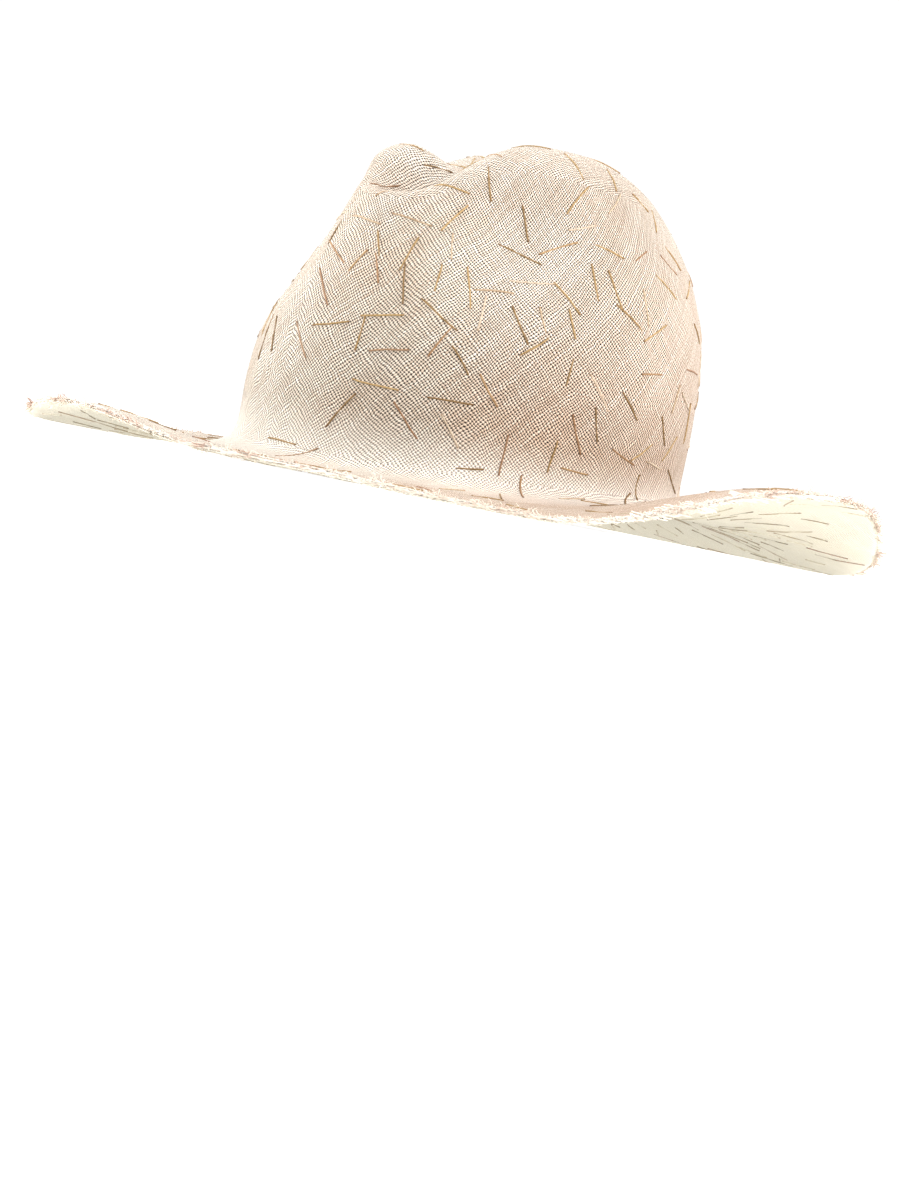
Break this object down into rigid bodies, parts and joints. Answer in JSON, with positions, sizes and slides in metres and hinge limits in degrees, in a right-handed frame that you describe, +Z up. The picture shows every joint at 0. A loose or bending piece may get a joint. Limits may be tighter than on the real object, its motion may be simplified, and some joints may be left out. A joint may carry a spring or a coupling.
{
  "type": "straw hat",
  "caption": "Woven straw hat with a pinched, creased crown, a wavy two-layer brim with a frayed raw edge and a black inner sweatband.",
  "frame": {"origin": "on the surface that the hat rests on, under the middle of its own box", "axes": "+Z up, -Y towards the front of the hat, +X towards the wearer's left"},
  "size_m": [0.353, 0.369, 0.153],
  "materials": {
    "outer_straw": "dusty pink woven straw with tan splints",
    "under_straw": "cream woven straw with tan splints",
    "ribbon": "black ribbed ribbon"
  },
  "bodies": {
    "root": {"crown_and_brim": "outer_straw", "under_brim": "under_straw", "sweatband": "ribbon"}
  },
  "joints": []
}
